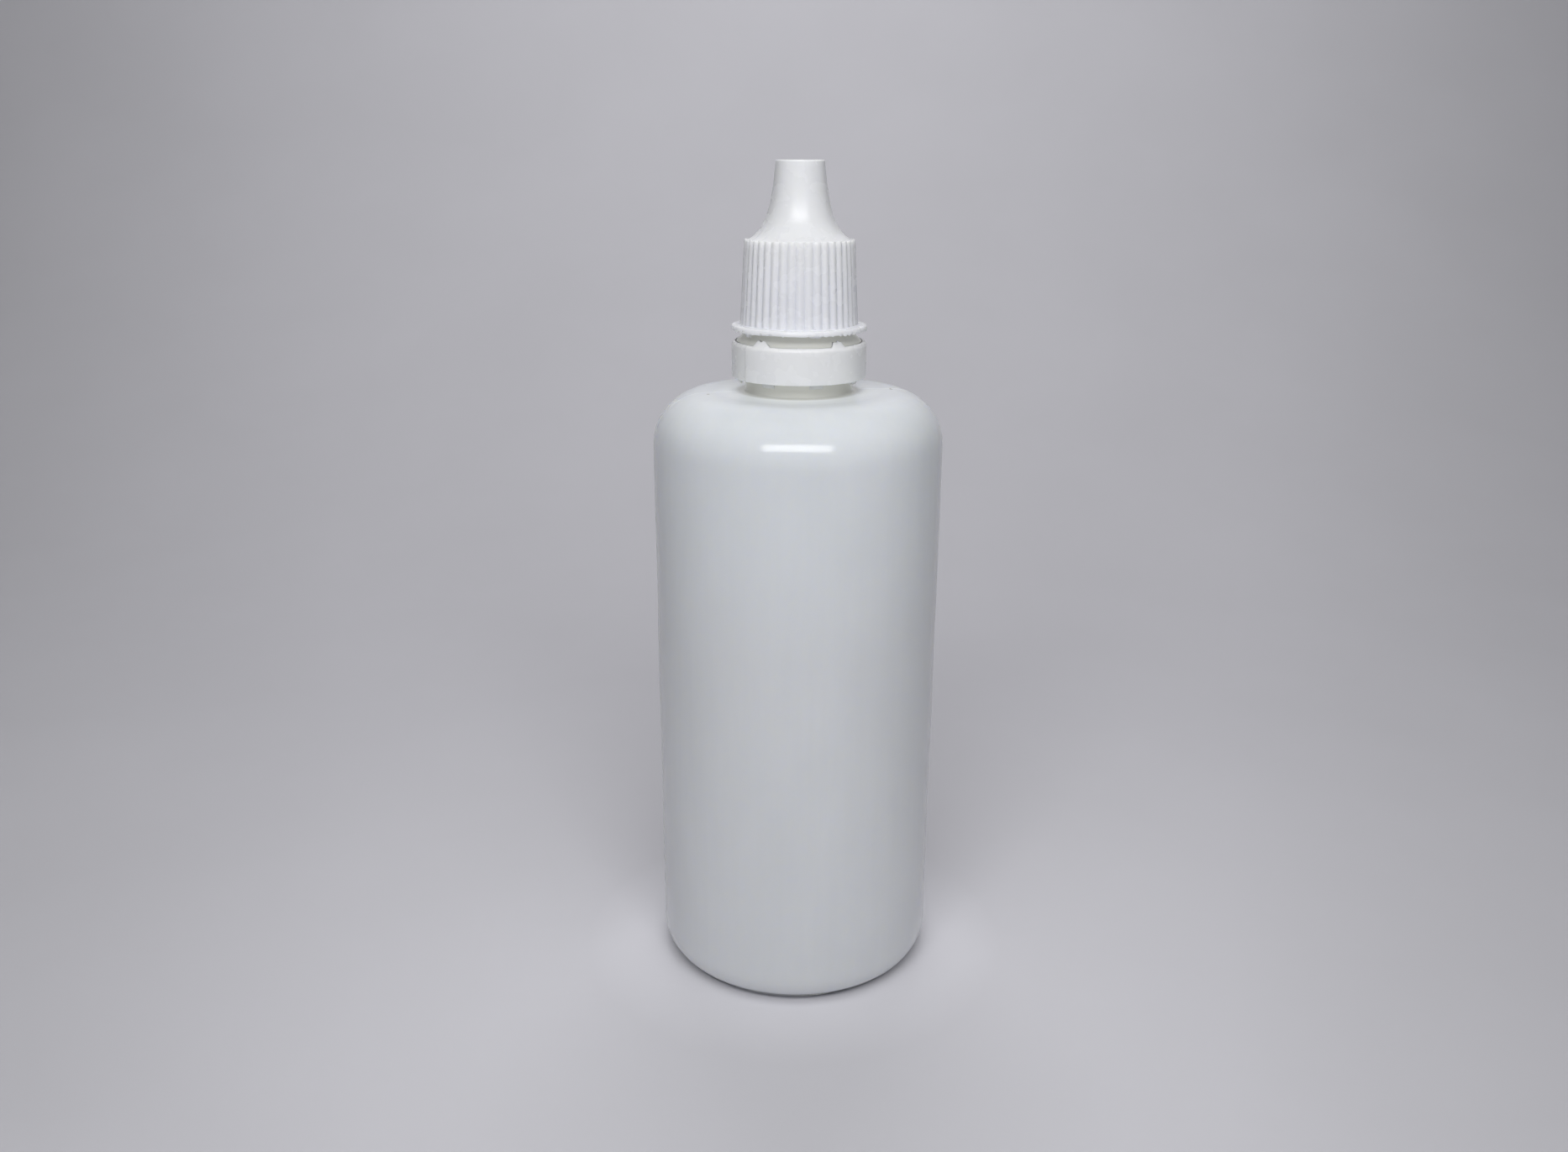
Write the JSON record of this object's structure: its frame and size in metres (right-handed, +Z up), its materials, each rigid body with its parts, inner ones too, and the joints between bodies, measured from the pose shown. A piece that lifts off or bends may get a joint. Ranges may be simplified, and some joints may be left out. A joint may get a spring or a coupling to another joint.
{
  "type": "squeeze dropper bottle",
  "caption": "Round translucent squeeze bottle with a pressed-in dropper nozzle, a ribbed screw cap with a tall hollow spout, and a broken-off tamper ring round its neck.",
  "frame": {"origin": "centre of the foot, on the resting plane", "axes": "+Z up along the bottle's axis to the spout; -Y is the front that the pictures show; the mould's parting plane is the XZ plane"},
  "size_m": [0.0426, 0.0426, 0.1227],
  "materials": {
    "bottle_plastic": "translucent natural low-density polyethylene, soft waxy sheen",
    "plug_plastic": "translucent natural polyethylene, moulded, soft sheen",
    "cap_plastic": "white injection-moulded polyethylene, satin"
  },
  "bodies": {
    "bottle_body": {"bottle": "bottle_plastic", "dropper_plug": "plug_plastic"},
    "ring_body": {"tamper_ring": "cap_plastic"},
    "cap_body": {"cap": "cap_plastic"}
  },
  "joints": [
    {"name": "cap_turn", "type": "hinge", "parent": "bottle_body", "child": "ring_body", "pos_m": [0, 0, 0.1], "axis": [0, 0, 1], "range_deg": [0, 2880]},
    {"name": "cap_lift", "type": "slide", "parent": "ring_body", "child": "cap_body", "axis": [0, 0, 1], "range_m": [0, 0.0241]}
  ],
  "couplings": [
    {"joint": "cap_lift", "follows": "cap_turn", "m_per_rad": 0.00047746}
  ]
}
